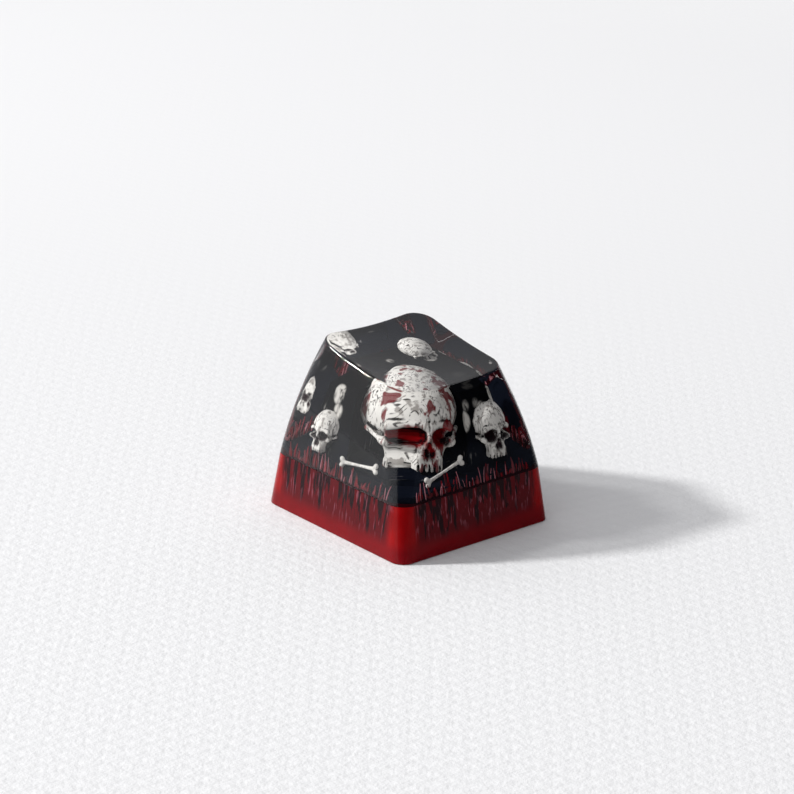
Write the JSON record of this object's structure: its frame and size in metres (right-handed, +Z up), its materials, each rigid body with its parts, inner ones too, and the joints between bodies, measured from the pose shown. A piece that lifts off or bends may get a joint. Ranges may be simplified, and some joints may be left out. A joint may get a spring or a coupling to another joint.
{
  "type": "artisan keycap",
  "caption": "Tall sculpted keycap cast in clear resin over a red base, with bone-coloured skulls and bones set before a dark core, and a cross-shaped stem socket underneath.",
  "frame": {"origin": "middle of the rim that the cap stands on, under the stem", "axes": "+Z up, -Y the front towards the typist, +X to the typist's right"},
  "size_m": [0.0184, 0.0184, 0.016],
  "materials": {
    "clear_resin": "polished clear cast resin",
    "red_resin": "polished deep red cast resin",
    "dark_resin": "black cast resin",
    "painted_bone": "bone white paint with dark wash"
  },
  "bodies": {
    "root": {"clear_body": "clear_resin", "red_base": "red_resin", "dark_core": "dark_resin", "large_skull": "painted_bone", "left_skull": "painted_bone", "front_skull": "painted_bone", "right_skull": "painted_bone", "back_skull": "painted_bone", "crown_skull": "painted_bone", "front_bone": "painted_bone", "left_bone": "painted_bone"}
  },
  "joints": []
}
